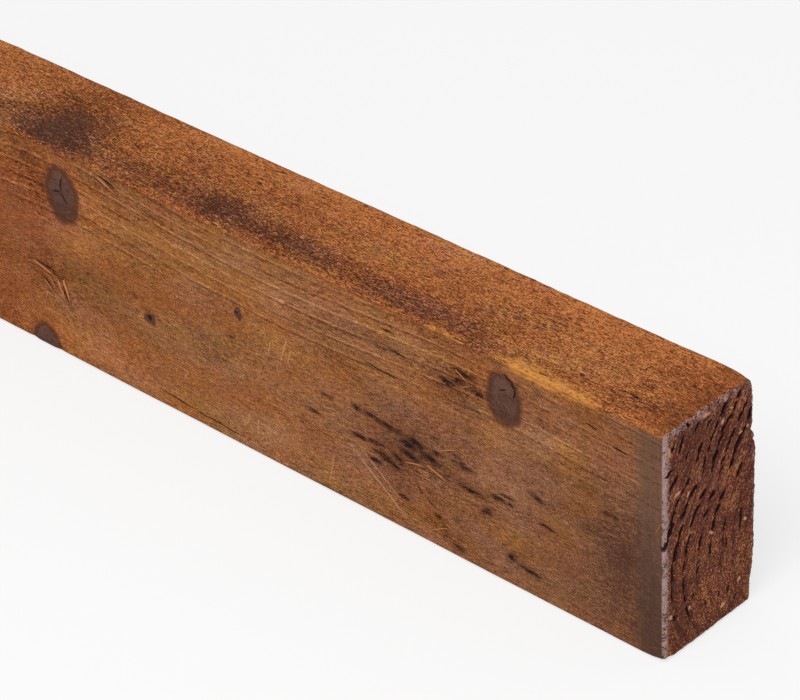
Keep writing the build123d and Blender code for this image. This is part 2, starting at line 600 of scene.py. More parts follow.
class TimberShape(bpy.types.PropertyGroup):
    """Sizes of the timber that can be changed."""

    front_bottom_arris: arris_property("Front Bottom Arris", "lower arris of the front face", 0.0015)
    front_top_arris: arris_property("Front Top Arris", "upper arris of the front face", 0.002)
    back_top_arris: arris_property("Back Top Arris", "upper arris of the back face", 0.0025)
    back_bottom_arris: arris_property("Back Bottom Arris", "lower arris of the back face", 0.0015)
    end_arris: arris_property("End Arris", "arris round each crosscut end", 0.0012, 0.0002)
    saw_relief: FloatProperty(
        name="Saw Relief",
        description="Depth of the roughness that the saw leaves, as a share of the usual one",
        default=1.0,
        min=0.0,
        subtype="FACTOR",
    )
    seed: IntProperty(
        name="Seed",
        description="Number that the scattered roughness and fibres grow from",
        default=7,
        min=0,
    )


def colour_property(name, description, colour):
    """A colour that a user can change, written as linear red, green and blue."""
    return FloatVectorProperty(
        name=name,
        description=description,
        default=(*colour, 1.0),
        size=4,
        min=0.0,
        max=1.0,
        subtype="COLOR",
    )


class TimberFinish(bpy.types.PropertyGroup):
    """Colours of the treated softwood."""

    # Soot is the black of the flecks and cracks, and also painted shadow beside the splinters
    soot_and_shadow: colour_property("Soot", "Black flecks and cracks", (0.014, 0.005, 0.006))
    umber: colour_property("Umber", "Darkest treated wood", (0.070, 0.026, 0.0155))
    chestnut: colour_property("Chestnut", "Darker treated wood", (0.150, 0.062, 0.033))
    russet: colour_property("Russet", "Usual treated wood", (0.268, 0.116, 0.059))
    amber: colour_property("Amber", "Lighter treated wood", (0.380, 0.172, 0.090))
    straw: colour_property("Straw", "Loose and worn fibres", (0.530, 0.258, 0.140))
    # Cream is partly the palest wood and partly painted highlight: it is the top stop that the bright
    # hairs reach
    cream_and_highlight: colour_property("Cream", "Palest wood, on the raised fibres", (0.700, 0.370, 0.200))
    gold: colour_property("Gold", "Worn stretches of the front top arris", (0.720, 0.295, 0.052))
    rust: colour_property("Rust", "Warm tint laid over the wood", (1.0, 0.68, 0.68))
    honey: colour_property("Honey", "Golden tint laid over the wood", (1.0, 1.0, 0.55))
    ash: colour_property("Ash", "Upper part of the greyed band by each end", (0.146, 0.075, 0.046))
    smoke: colour_property("Smoke", "Lower part of the greyed band by each end", (0.066, 0.034, 0.024))
    bark: colour_property("Bark", "Dark rim of a knot", (0.070, 0.027, 0.018))
    knot: colour_property("Knot", "Core of a knot", (0.138, 0.070, 0.049))
    # Pitch is partly the darkest end grain and partly painted shade in the furrows and pits of the ends
    pitch: colour_property("Pitch", "Darkest end grain", (0.014, 0.004, 0.007))
    crosscut: colour_property("Crosscut", "Usual end grain", (0.168, 0.053, 0.034))
    ember: colour_property("Ember", "Lighter end grain", (0.350, 0.130, 0.070))
    lilac: colour_property("Lilac", "Bruised fibres of the crosscut ends", (0.430, 0.290, 0.270))


class StudioStage(bpy.types.PropertyGroup):
    """Light and floor of the picture."""

    floor_colour: colour_property("Floor Colour", "Colour of the floor", (0.88, 0.88, 0.88))
    key_power: FloatProperty(
        name="Key Light",
        description="Power of the large soft light above the front",
        default=34.0,
        min=0.0,
        unit="POWER",
    )
    sky_strength: FloatProperty(
        name="Sky Strength",
        description="Strength of the even light from all round",
        default=0.45,
        min=0.0,
    )


def smoothstep(low, high, value):
    """Nought below low, one above high, and a smooth cubic between them."""
    share = np.clip((value - low) / (high - low), 0.0, 1.0)
    return share * share * (3.0 - 2.0 * share)


def lattice_noise(points, seed):
    """Smooth noise from -1 to 1: random numbers on a unit lattice, joined by a quintic on each axis."""
    table_size = 4096
    source = np.random.default_rng(seed)
    order = source.permutation(table_size)
    values = source.uniform(-1.0, 1.0, table_size)
    cell = np.floor(points).astype(np.int64)
    part = points - cell
    blend = part**3 * (part * (part * 6.0 - 15.0) + 10.0)
    total = np.zeros(len(points))
    for corner in itertools.product((0, 1), repeat=3):
        place = cell + corner
        index = order[place[:, 0] % table_size]
        index = order[(index + place[:, 1]) % table_size]
        index = order[(index + place[:, 2]) % table_size]
        weight = np.where(corner, blend, 1.0 - blend).prod(axis=1)
        total += weight * values[index]
    return total


def layered_noise(points, seed, layers):
    """Noise with finer layers added, each half as large and half as strong as the one before."""
    strengths = 0.5 ** np.arange(layers)
    noises = [lattice_noise(points / strengths[i], seed + i) * strengths[i] for i in range(layers)]
    return np.sum(noises, axis=0) / strengths.sum()


def to_frame(points):
    """Points in millimetres along the timber as metres in the shared frame: x runs against s."""
    turned = np.stack([HIGH[0] - points[:, 0], points[:, 1], points[:, 2]], axis=1)
    return turned * MM


def front_points(places):
    """Points on the front face from pairs of s and t, t being the distance down from the top."""
    s, down = np.moveaxis(np.asarray(places, float), -1, 0)
    return np.stack([s, np.full_like(s, FRONT), DEPTH - down], axis=-1)


def top_points(places):
    """Points on the top edge from pairs of s and distance from the back."""
    s, from_back = np.moveaxis(np.asarray(places, float), -1, 0)
    return np.stack([s, BACK - from_back, np.full_like(s, DEPTH)], axis=-1)


def bell(distance, radius):
    """1 at no distance, falling as e to the minus square of distance over radius."""
    return np.exp(-((distance / radius) ** 2))


def mesh_object(name, points, quads, triangles, fields):
    """An object in the scene from points in millimetres, its faces, and named values at each point."""
    mesh = bpy.data.meshes.new(name)
    mesh.vertices.add(len(points))
    mesh.vertices.foreach_set("co", to_frame(points).astype(np.float32).ravel())
    corners = np.concatenate([quads.ravel(), triangles.ravel()]).astype(np.int32)
    sizes = np.concatenate([np.full(len(quads), 4), np.full(len(triangles), 3)])
    starts = np.cumsum(sizes) - sizes
    mesh.loops.add(len(corners))
    mesh.loops.foreach_set("vertex_index", corners)
    mesh.polygons.add(len(sizes))
    mesh.polygons.foreach_set("loop_start", starts.astype(np.int32))
    mesh.update(calc_edges=True)
    mesh.shade_smooth()
    for field, values in fields.items():
        kind = "FLOAT" if values.ndim == 1 else "FLOAT_VECTOR"
        part = "value" if values.ndim == 1 else "vector"
        attribute = mesh.attributes.new(field, kind, "POINT")
        attribute.data.foreach_set(part, values.astype(np.float32).ravel())
    if mesh.validate():
        raise RuntimeError(f"{name} has faulty faces")
    made = bpy.data.objects.new(name, mesh)
    bpy.context.scene.collection.objects.link(made)
    return made


def section_outline(radii):
    """Points and outward normals round the sawn section, from the front bottom arris upwards.

    Each corner is an arc about its own centre. Each side runs from the middle of one arc to the
    middle of the next and is cut into even steps of length.
    """
    corners = np.array([(FRONT, 0.0), (FRONT, DEPTH), (BACK, DEPTH), (BACK, 0.0)])
    inward = np.sign(np.array([0.0, DEPTH / 2]) - corners)
    turn = np.linspace(0.0, math.pi / 2, ARC_STEPS + 1)
    angles = 1.5 * math.pi - math.pi / 2 * np.arange(5)[:, None] - turn
    around = np.arange(5) % 4
    rays = np.stack([np.cos(angles), np.sin(angles)], axis=-1)
    centres = corners + inward * radii[:, None]
    loop = (centres[around, None] + radii[around, None, None] * rays).reshape(-1, 2)
    run = np.concatenate([[0.0], np.cumsum(np.linalg.norm(np.diff(loop, axis=0), axis=1))])
    middles = run[ARC_STEPS // 2 + (ARC_STEPS + 1) * np.arange(5)]
    counts = (SIDES_Z, SIDES_Y, SIDES_Z, SIDES_Y)
    sides = [np.linspace(a, b, n, endpoint=False) for a, b, n in zip(middles, middles[1:], counts)]
    stops = np.concatenate(sides)
    angle = np.interp(stops, run, angles.ravel())
    outline = np.stack([np.interp(stops, run, loop[:, i]) for i in range(2)], axis=1)
    return outline, np.stack([np.cos(angle), np.sin(angle)], axis=1)


def graded_stations(start, stop, count, spots, strength, width):
    """Distances from start to stop, closer together near each spot.

    The crowding is 1 plus a bell of that strength and width at each spot, and its running total
    is cut into even steps.
    """
    fine = np.linspace(start, stop, CROWDING_SAMPLES)
    bells = bell(fine[:, None] - np.asarray(spots), width)
    crowding = 1.0 + strength * bells.sum(axis=1)
    total = np.concatenate([[0.0], np.cumsum((crowding[1:] + crowding[:-1]) / 2)])
    return np.interp(np.linspace(0.0, total[-1], count), total, fine)


def section_rings(end_arris):
    """Distance, inset and forward lean of each section from the near end on, in three groups.

    Over the end arris the inset and the distance follow a quarter circle, and the lean of the
    surface is the sine of its angle.
    """
    angle = np.linspace(math.pi / 2, 0.0, END_ARRIS_STEPS + 1)
    rise = end_arris * (1.0 - np.sin(angle))
    inset = end_arris * (1.0 - np.cos(angle))
    fine = np.linspace(end_arris, FINE_LENGTH, FINE_STATIONS)
    stop = LENGTH - end_arris
    close = graded_stations(FINE_LENGTH, CLOSE_LENGTH, CLOSE_STATIONS, CLOSE_SPOTS, *CLOSE_CROWDING)
    rest = graded_stations(CLOSE_LENGTH, stop, REST_STATIONS, WHORL_PLACES, *REST_CROWDING)
    near = np.stack([rise, inset, np.sin(angle)], axis=1)
    far = np.stack([LENGTH - rise, inset, -np.sin(angle)], axis=1)[::-1]
    straight = [np.stack([part, 0 * part, 0 * part], axis=1)[1:] for part in (fine, close, rest)]
    return np.concatenate([near, straight[0]]), straight[1], np.concatenate([straight[2], far[1:]])


def ring_points(rings, outline, normals):
    """The sections at the given rings: each outline point drawn in by the inset along its normal."""
    distance, inset, lean = rings.T
    upright = np.sqrt(1.0 - lean**2)
    section = outline - normals * inset[:, None, None]
    points = np.empty((*section.shape[:2], 3))
    points[..., 0] = distance[:, None]
    points[..., 1:] = section
    facing = np.empty_like(points)
    facing[..., 0] = -lean[:, None]
    facing[..., 1:] = normals * upright[:, None, None]
    return points, facing


def tube_quads(index):
    """Quads between neighbouring rings of a closed tube, from its grid of point numbers."""
    beside = np.roll(index, -1, axis=1)
    return np.stack([index[:-1], beside[:-1], beside[1:], index[1:]], axis=-1).reshape(-1, 4)


def seam_triangles(fine, coarse):
    """Triangles between a ring and the next, with half as many points: three to each coarse step."""
    left = fine[0::2]
    middle = fine[1::2]
    right = np.roll(left, -1)
    after = np.roll(coarse, -1)
    fans = [(left, middle, coarse), (middle, after, coarse), (middle, right, after)]
    return np.concatenate([np.stack(fan, axis=1) for fan in fans])


def end_grid(ring, numbers, first_number, sides_y, sides_z):
    """Point numbers of an end's grid, and its inner points.

    The grid's rim is the ring itself, and each inner point is the sum of the two straight blends
    between opposite sides, less the blend of the four corners.
    """
    count = len(ring)
    front = np.arange(sides_z + 1)
    top = sides_z + np.arange(sides_y + 1)
    back = (2 * sides_z + sides_y - np.arange(sides_z + 1)) % count
    bottom = (-np.arange(sides_y + 1)) % count
    across = np.linspace(0.0, 1.0, sides_y + 1)[:, None, None]
    up = np.linspace(0.0, 1.0, sides_z + 1)[None, :, None]
    blend_y = (1 - across) * ring[front][None] + across * ring[back][None]
    blend_z = (1 - up) * ring[bottom][:, None] + up * ring[top][:, None]
    low = (1 - across) * ring[front[0]] + across * ring[back[0]]
    high = (1 - across) * ring[front[-1]] + across * ring[back[-1]]
    patch = blend_y + blend_z - (1 - up) * low - up * high
    grid = np.empty((sides_y + 1, sides_z + 1), np.int64)
    grid[0, :] = numbers[front]
    grid[-1, :] = numbers[back]
    grid[:, 0] = numbers[bottom]
    grid[:, -1] = numbers[top]
    inner = (sides_y - 1) * (sides_z - 1)
    grid[1:-1, 1:-1] = first_number + np.arange(inner).reshape(sides_y - 1, sides_z - 1)
    return grid, patch[1:-1, 1:-1].reshape(-1, 3)


def grid_quads(grid):
    """Quads of a grid of point numbers."""
    corners = [grid[:-1, :-1], grid[1:, :-1], grid[1:, 1:], grid[:-1, 1:]]
    return np.stack(corners, axis=-1).reshape(-1, 4)


def all_knots():
    """The knots that show and those of the whorls further along."""
    source = np.random.default_rng(WHORL_SEED)
    knots = list(KNOTS)
    for place in WHORL_PLACES:
        for number in range(KNOTS_TO_FRONT + KNOTS_TO_TOP):
            s = place + source.uniform(-WHORL_SPREAD, WHORL_SPREAD)
            share = (number % KNOTS_TO_FRONT + source.uniform(*KNOT_SHARES)) / KNOTS_TO_FRONT
            radius = source.uniform(*KNOT_RADII)
            if number < KNOTS_TO_FRONT:
                knots.append((s, FRONT, share * DEPTH, radius))
            else:
                knots.append((s, FRONT + share * THICKNESS, DEPTH, radius))
    return knots


def knots_and_grain(points):
    """How deep and how high each point is in a knot, and the grain that sweeps round the knots.

    A knot is a cone about a ray from the pith: the depth is 1 on the ray, 0 on the cone and falls
    below 0 outside. The grain shifts sideways as the stream lines do round a cylinder, by the
    sideways distance times radius squared over distance squared, and it bows between the whorls.
    """
    depth = np.full(len(points), FAR_OUTSIDE)
    rise = np.zeros(len(points))
    grain = points.copy()
    for s, y, z, radius in all_knots():
        root = np.array([s, PITH_Y, PITH_Z])
        axis = np.array([s, y, z]) - root
        reach = np.linalg.norm(axis)
        axis /= reach
        offset = points - root
        along = offset @ axis
        girth = radius * np.clip(along / reach, *KNOT_TAPER)
        sideways = np.cross(axis, (1.0, 0.0, 0.0))
        ahead = offset[:, 0]
        beside = offset @ sideways
        away = np.hypot(ahead, beside / KNOT_HEIGHT)
        inside = 1.0 - away / girth
        rise = np.where(inside > depth, np.clip(beside / girth, -2.0, 2.0), rise)
        depth = np.maximum(depth, inside)
        core = (GRAIN_SWEEP * girth) ** 2
        spread = (ahead / GRAIN_STRETCH) ** 2 + beside**2
        grain -= (beside * core / np.maximum(spread, core))[:, None] * sideways
    span = np.interp(points[:, 0], BOW_PLACES, np.arange(len(BOW_PLACES)))
    grain[:, 2] += GRAIN_BOW * np.sin(math.pi * span) ** 2
    return depth, rise, grain


def ring_phase(grain):
    """Number of growth rings between the pith and each point.

    It counts the distance across from the pith, plus a sweep that bends the rings back above and
    below it: slope times the rise, less turn times the hyperbolic tangent of the rise over turn.
    """
    rise = np.abs(grain[:, 2] - PITH_Z)
    sweep = RING_SLOPE * (rise - RING_TURN * np.tanh(rise / RING_TURN))
    return (PITH_Y - grain[:, 1] + sweep) / RING_SPACING


def soft_patches(first, second, patches):
    """Sum of soft oval patches: each is its amount times a bell of the two distances over its radii."""
    total = np.zeros(len(first))
    for place, other, radius, other_radius, amount in patches:
        ahead = (first - place) / radius
        below = (second - other) / other_radius
        total += amount * np.exp(-(ahead**2) - below**2)
    return total


def oval(first, second, middle, half_length, half_width, turn):
    """1 in the middle of an oval, 0 on its edge and below 0 outside.

    It is 1 less the root of the squares of the distances along and across the turned oval, each
    over its half size.
    """
    ahead = first - middle[0]
    below = second - middle[1]
    along = (ahead * math.cos(turn) + below * math.sin(turn)) / half_length
    across = (below * math.cos(turn) - ahead * math.sin(turn)) / half_width
    return 1.0 - np.hypot(along, across)


def fleck_field(points, facing):
    """The greatest of the black flecks of the front face, as ovals."""
    down = DEPTH - points[:, 2]
    field = np.full(len(points), FAR_OUTSIDE)
    for s, t, half_length, half_width, tilt in FRONT_FLECKS:
        fleck = oval(points[:, 0], down, (s, t), half_length, half_width, math.radians(tilt))
        field = np.maximum(field, fleck)
    return np.where(facing[:, 1] < -0.5, field, FAR_OUTSIDE)


def slim_ovals(first, second, marks):
    """The greatest of the ovals drawn between pairs of ends, and no less than -1."""
    field = np.full(len(first), -1.0)
    for (a0, b0), (a1, b1), half_width in marks:
        half_length = math.hypot(a1 - a0, b1 - b0) / 2 + half_width
        turn = math.atan2(b1 - b0, a1 - a0)
        middle = ((a0 + a1) / 2, (b0 + b1) / 2)
        mark = oval(first, second, middle, half_length, OVAL_SPREAD * half_width, turn)
        field = np.maximum(field, mark)
    return field


def end_fields(points):
    """Furrows and pale splashes of the crosscut ends, as ovals whose outlines wander a little."""
    s, y, z = points.T
    ends = np.minimum(s, LENGTH - s) < FINE_LENGTH
    cells = points[ends] / OVAL_WANDER_CELL
    strays = [OVAL_WANDER * layered_noise(cells, seed, 2) for seed in OVAL_WANDER_SEEDS]
    across = y[ends] - FRONT + strays[0]
    down = DEPTH - z[ends] + strays[1]
    fields = {}
    for name, marks in (("furrow", END_FURROWS), ("splash", END_SPLASHES)):
        fields[name] = np.full(len(points), -1.0)
        fields[name][ends] = slim_ovals(across, down, marks)
    return fields


def surface_fields(points, facing):
    """Values at each point that the relief and the finish share."""
    s, y, z = points.T
    front = smoothstep(*SQUARELY, -facing[:, 1])
    top = smoothstep(*SQUARELY, facing[:, 2])
    end = smoothstep(*SQUARELY, -facing[:, 0])
    down = DEPTH - z
    from_back = BACK - y
    depth, rise, grain = knots_and_grain(points)
    arris = bell(2.0 * down + y - FRONT, GOLDEN_WIDTH)
    golden = sum(amount * bell(s - place, radius) for place, radius, amount in GOLDEN_ARRISES)
    return {
        "grain": grain,
        "knot": depth,
        "rise": rise,
        "ring": ring_phase(grain),
        "fleck": fleck_field(points, facing),
        "torn": front * soft_patches(s, down, FRONT_TEARS),
        "tone": front * soft_patches(s, down, FRONT_TONES)
        + top * soft_patches(s, from_back, TOP_TONES)
        + end * soft_patches(y - FRONT, down, END_TONES),
        "warmth": front * soft_patches(s, down, FRONT_WARMTHS)
        + top * soft_patches(s, from_back, TOP_WARMTHS),
        "golden": golden * arris,
        **end_fields(points),
    }


def surface_relief(points, facing, fields, seed):
    """Height of the sawn surface over the plain one, in millimetres.

    Slow waves of the saw, a nap that is deeper on the edges, domed knots in a groove, torn grain,
    pits at the flecks, blunted arrises, and furrows between the growth rings on the crosscuts are
    taken from a slight swelling.
    """
    s, y, z = points.T
    grain = fields["grain"]
    crosscut = np.abs(facing[:, 0])
    edge = np.abs(facing[:, 2])
    waves = WAVE_DEPTH * (1.0 + layered_noise(points / WAVE_CELL, seed, 2))
    nap_depth = FACE_NAP_DEPTH + EDGE_NAP_DEPTH * edge
    nap = nap_depth * (1.0 + layered_noise(points / NAP_CELL, seed + 10, 3))
    strands = STRAND_DEPTH * (1.0 + layered_noise(grain / STRAND_CELL, seed + 20, 2))
    dome = KNOT_DOME * smoothstep(0.1, 0.45, fields["knot"])
    groove = KNOT_GROOVE * bell(fields["knot"], KNOT_GROOVE_SHARE)
    tear_noise = 0.5 + 0.5 * layered_noise(grain / TEAR_CELL, seed + 30, 2)
    tear = fields["torn"] * (TEAR_DEPTHS[0] + TEAR_DEPTHS[1] * tear_noise)
    pits = FLECK_DEPTH * smoothstep(0.0, 0.6, fields["fleck"])
    long_arris = 4.0 * (facing[:, 1] * facing[:, 2]) ** 2
    long_noise = np.abs(layered_noise(points / LONG_WEAR_CELL, seed + 40, 3))
    long_wear = long_arris * (LONG_WEAR[0] + LONG_WEAR[1] * long_noise)
    end_arris = 4.0 * crosscut**2 * (1.0 - crosscut**2)
    end_noise = np.abs(layered_noise(points / END_WEAR_CELL, seed + 50, 3))
    end_wear = end_arris * (END_WEAR[0] + END_WEAR[1] * end_noise)
    near = bell(s, NICK_REACH_ALONG)
    nicks = sum(
        depth * near * bell(z - height, radius) * bell(y - side, NICK_REACH_ACROSS)
        for side, height, radius, depth in END_NICKS
    )
    upright = smoothstep(*ARRIS_FADE_BELOW, z) * smoothstep(*ARRIS_FADE_ABOVE, z)
    swelling = ARRIS_SWELL * upright * bell(np.hypot(s, BACK - y), ARRIS_REACH)
    swelling = swelling + FACE_SWELL * (1.0 - crosscut**2) * smoothstep(-0.9, -0.3, facing[:, 2])
    furrows = FURROW_DEPTH * crosscut * smoothstep(0.0, 0.8, fields["furrow"])
    end_cells = 1.0 + layered_noise(points / END_CELL, seed + 70, 3)
    rough_end = END_ROUGHNESS * crosscut**4 * end_cells
    faces = (1.0 - crosscut**2) * (waves + nap + strands + groove - dome + tear + pits)
    return swelling - (faces + long_wear + end_wear + nicks + furrows + rough_end)


def timber_surface(shape):
    """Points, faces and fields of the timber: the section carried along the length, with two end grids.

    The point at distance s and outline step j is the outline's point, drawn in over the end arris
    and moved along its normal by the relief. Near a knocked corner it also moves by the knock times
    a bell of its distance from the corner.
    """
    radii = np.array(
        [shape.front_bottom_arris, shape.front_top_arris, shape.back_top_arris, shape.back_bottom_arris]
    )
    outline, normals = section_outline(radii / MM)
    points, facing, quads, triangles, tubes = [], [], [], [], []
    count = 0
    for step, rings in zip(ROUND_STEPS, section_rings(shape.end_arris / MM)):
        places, ways = ring_points(rings, outline[::step], normals[::step])
        tube = count + np.arange(places.shape[0] * places.shape[1]).reshape(places.shape[:2])
        count += tube.size
        if tubes:
            triangles.append(seam_triangles(tubes[-1][-1], tube[0]))
        quads.append(tube_quads(tube))
        points.append(places.reshape(-1, 3))
        facing.append(ways.reshape(-1, 3))
        tubes.append(tube)
    body = np.concatenate(points)
    near_end = (tubes[0][0], ROUND_STEPS[0], -1)
    far_end = (tubes[-1][-1], ROUND_STEPS[-1], 1)
    for ring, step, side in (near_end, far_end):
        grid, inner = end_grid(body[ring], ring, count, SIDES_Y // step, SIDES_Z // step)
        count += len(inner)
        quads.append(grid_quads(grid)[:, ::-side])
        points.append(inner)
        facing.append(np.tile((float(side), 0.0, 0.0), (len(inner), 1)))
    points = np.concatenate(points)
    facing = np.concatenate(facing)
    fields = surface_fields(points, facing)
    relief = surface_relief(points, facing, fields, shape.seed) * shape.saw_relief
    moved = points + facing * relief[:, None]
    for corner, knock in CORNER_KNOCKS:
        away = np.linalg.norm(points - corner, axis=1)
        moved += bell(away, CORNER_REACH)[:, None] * np.array(knock)
    return moved, np.concatenate(quads), np.concatenate(triangles), fields


def spikes(roots, headings, risings, lengths, half_widths, arch):
    """Closed three-sided spikes: a ring of three points at the root, one halfway, and a tip.

    The middle line is root plus heading times length times u, plus rising times length times
    arch times u squared; the half width falls to nought at the tip.
    """
    sideways = np.cross(headings, risings)
    shares = SPIKE_SHARES[None, :, None]
    middle = roots[:, None] + headings[:, None] * (lengths[:, None, None] * shares)
    middle = middle + risings[:, None] * (arch * lengths)[:, None, None] * shares**2
    angle = math.radians(90.0) + 2.0 * math.pi / 3.0 * np.arange(3)
    across = np.cos(angle)[None, :, None] * sideways[:, None]
    above = SPIKE_FLATNESS * np.sin(angle)[None, :, None] * risings[:, None]
    wide = half_widths[:, None, None, None] * SPIKE_FADES[None, :, None, None]
    rings = middle[:, :, None] + wide * (across + above)[:, None]
    points = np.concatenate([rings[:, 0], rings[:, 1], middle[:, 2:]], axis=1)
    sides = [(0, 1), (1, 2), (2, 0)]
    base = [[2, 1, 0]]
    wall = [[a, b, b + 3] for a, b in sides] + [[a, b + 3, a + 3] for a, b in sides]
    cone = [[a + 3, b + 3, 6] for a, b in sides]
    pattern = np.array(base + wall + cone)
    faces = pattern[None] + SPIKE_POINTS * np.arange(len(roots))[:, None, None]
    return points.reshape(-1, 3), faces.reshape(-1, 3)


def outward(points, triangles):
    """The triangles, turned round together if they face inwards.

    s runs against x, so triangles that face outwards enclose a volume below nought here.
    """
    a, b, c = (points[triangles[:, i]] for i in range(3))
    volume = np.einsum("ij,ij->i", a, np.cross(b, c)).sum()
    return triangles if volume < 0 else triangles[:, ::-1]


def nap_on_face(source, low, high, normal, count, lengths, angle, spread, lift):
    """Spikes scattered over one face: even places, headings spread about an angle to the length."""
    normal = np.asarray(normal, float)
    along = np.array([-1.0, 0.0, 0.0])
    aside = np.cross(normal, along)
    roots = source.uniform(low, high, (count, 3)) + FIBRE_ROOT_LIFT * normal
    turn = np.radians(angle + spread * source.standard_normal(count))[:, None]
    shares = [FIBRES_BACKWARD, 1.0 - FIBRES_BACKWARD]
    flip = source.choice([-1.0, 1.0], count, p=shares)[:, None]
    rise = np.radians(lift * source.uniform(*FIBRE_LIFTS, count))[:, None]
    level = flip * (np.cos(turn) * along + np.sin(turn) * aside)
    heading = np.cos(rise) * level + np.sin(rise) * normal
    rising = np.cross(np.cross(heading, normal), heading)
    rising /= np.linalg.norm(rising, axis=1)[:, None]
    long = source.uniform(*lengths, count)
    wide = source.uniform(*FIBRE_HALF_WIDTHS, count)
    arch = source.uniform(*FIBRE_ARCHES, count)
    return spikes(roots, heading, rising, long, wide, arch)


def fibre_object(name, parts, source, dullest=0.0, brightest=1.0):
    """One object from several groups of spikes, with a random brightness for each spike."""
    points = np.concatenate([part[0] for part in parts])
    starts = np.cumsum([0] + [len(part[0]) for part in parts])
    triangles = np.concatenate([part[1] + start for part, start in zip(parts, starts)])
    spike_count = len(points) // SPIKE_POINTS
    bright = np.repeat(source.uniform(dullest, brightest, spike_count), SPIKE_POINTS)
    triangles = outward(points, triangles)
    return mesh_object(name, points, np.empty((0, 4), np.int64), triangles, {"bright": bright})


class Field:
    """A node socket that takes part in Python expressions; each operator adds the node for it."""

    def __init__(self, sheet, socket):
        self.sheet = sheet
        self.socket = socket

    def join(self, operation, first, second):
        """A Math node, or a Vector Math node where this socket carries a vector."""
        kind = "ShaderNodeVectorMath" if self.socket.type == "VECTOR" else "ShaderNodeMath"
        return self.sheet.node(kind, {"operation": operation}, {0: first, 1: second})

    def __add__(self, other):
        return self.join("ADD", self, other)

    def __radd__(self, other):
        return self.join("ADD", other, self)

    def __sub__(self, other):
        return self.join("SUBTRACT", self, other)

    def __rsub__(self, other):
        return self.join("SUBTRACT", other, self)

    def __mul__(self, other):
        return self.join("MULTIPLY", self, other)

    def __rmul__(self, other):
        return self.join("MULTIPLY", other, self)

    def __abs__(self):
        return self.sheet.node("ShaderNodeMath", {"operation": "ABSOLUTE"}, {0: self})

    def greatest(self, other):
        return self.join("MAXIMUM", self, other)

    def least(self, other):
        return self.join("MINIMUM", self, other)

    def smooth(self, low, high, first=0.0, last=1.0):
        """The first value at low, the last at high, and a smooth cubic between them."""
        return self.sheet.node(
            "ShaderNodeMapRange",
            {"interpolation_type": "SMOOTHSTEP"},
            {"Value": self, "From Min": low, "From Max": high, "To Min": first, "To Max": last},
        )


class Sheet:
    """The nodes of one material."""

    def __init__(self, tree):
        self.tree = tree
        tree.nodes.clear()

    def node(self, kind, settings, sockets, output=0):
        """A node of this kind: its settings first, then values or links for its sockets."""
        made = self.tree.nodes.new(kind)
        for name, value in settings.items():
            if name == "stops":
                self.set_stops(made.color_ramp, value)
            else:
                setattr(made, name, value)
        for name, value in sockets.items():
            if isinstance(value, Field):
                self.tree.links.new(value.socket, made.inputs[name])
            else:
                made.inputs[name].default_value = value
        return Field(self, made.outputs[output]) if made.outputs else made

    def set_stops(self, ramp, stops):
        """Places the stops of a colour ramp."""
        ends = (stops[0], stops[-1])
        for element, (place, colour) in zip(ramp.elements, ends):
            element.position = place
            element.color = colour
        for place, colour in stops[1:-1]:
            ramp.elements.new(place).color = colour

    def attribute(self, name, output="Fac"):
        """A value that the mesh carries at each point."""
        return self.node("ShaderNodeAttribute", {"attribute_name": name}, {}, output)

    def noise(self, place, cell, detail=2.0, roughness=0.5, shift=0.0):
        """Noise about nought, with cells of the given sizes along s, y and z."""
        shifts = tuple(share * shift for share in SHIFT_SHARES)
        scaled = place * tuple(1.0 / size for size in cell) + shifts
        sockets = {"Vector": scaled, "Scale": 1.0, "Detail": detail, "Roughness": roughness}
        return self.node("ShaderNodeTexNoise", {}, sockets) - 0.5

    def mix(self, share, first, second, blend="MIX"):
        """A colour between two, or one laid on the other in the way that blend names."""
        settings = {"data_type": "RGBA", "blend_type": blend}
        return self.node("ShaderNodeMix", settings, {0: share, 6: first, 7: second}, 2)

    def ramp(self, value, stops):
        """A colour that a value picks from a row of stops."""
        return self.node("ShaderNodeValToRGB", {"stops": stops}, {"Fac": value})

    def parts(self, vector):
        """The three parts of a vector."""
        made = self.node("ShaderNodeSeparateXYZ", {}, {"Vector": vector})
        outputs = made.socket.node.outputs
        return [Field(self, socket) for socket in outputs]


def blank_material(name):
    """A material of that name with no nodes, and its sheet."""
    material = bpy.data.materials.new(name)
    material.use_nodes = True
    return material, Sheet(material.node_tree)


def timber_place(sheet):
    """Object coordinates as s, y and z in millimetres."""
    place = sheet.node("ShaderNodeTexCoord", {}, {}, "Object")
    scale = (-1.0 / MM, 1.0 / MM, 1.0 / MM)
    sockets = {"Vector": place, "Location": (HIGH[0], 0.0, 0.0), "Scale": scale}
    return sheet.node("ShaderNodeMapping", {}, sockets)


def slanted(sheet, place, edge, face_angle, edge_angle):
    """The place turned in the plane of the surface: about y on the faces and about z on the edges."""
    turned = [
        sheet.node(
            "ShaderNodeVectorRotate",
            {"rotation_type": axis},
            {"Vector": place, "Angle": -math.radians(angle)},
        )
        for axis, angle in (("Y_AXIS", face_angle), ("Z_AXIS", edge_angle))
    ]
    sockets = {0: edge, 4: turned[0], 5: turned[1]}
    return sheet.node("ShaderNodeMix", {"data_type": "VECTOR"}, sockets, 1)


def ring_offset(sheet, value):
    """How far a value lies above the nearest whole number, or below it."""
    return value - sheet.node("ShaderNodeMath", {"operation": "ROUND"}, {0: value})


